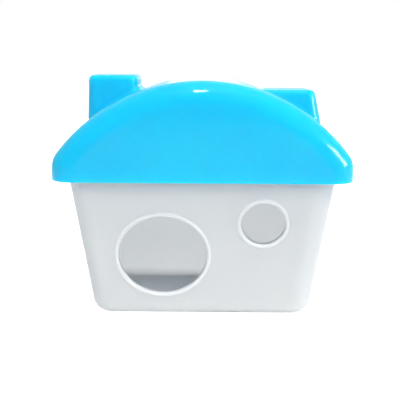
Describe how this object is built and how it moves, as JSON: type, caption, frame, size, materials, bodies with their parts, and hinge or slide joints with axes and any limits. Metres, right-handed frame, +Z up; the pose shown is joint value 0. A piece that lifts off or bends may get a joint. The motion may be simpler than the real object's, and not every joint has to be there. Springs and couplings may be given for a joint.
{
  "type": "hamster house",
  "caption": "Small pet house: a tapered white tub with an oval entrance and a round window, under a blue arched lid with a chimney that lifts straight off.",
  "frame": {"origin": "middle of the underside of the tub, where the house stands", "axes": "+X to the right along the front, from the entrance to the window; +Y from the front wall to the back; +Z up"},
  "size_m": [0.12, 0.088, 0.0992],
  "materials": {
    "white_plastic": "satin translucent white moulded plastic",
    "blue_plastic": "glossy sky blue moulded plastic"
  },
  "bodies": {
    "house": {"tub": "white_plastic"},
    "lid": {"roof": "blue_plastic"}
  },
  "joints": [
    {"name": "roof_lift", "type": "slide", "parent": "house", "child": "lid", "axis": [0, 0, 1], "range_m": [0, 0.03]}
  ]
}
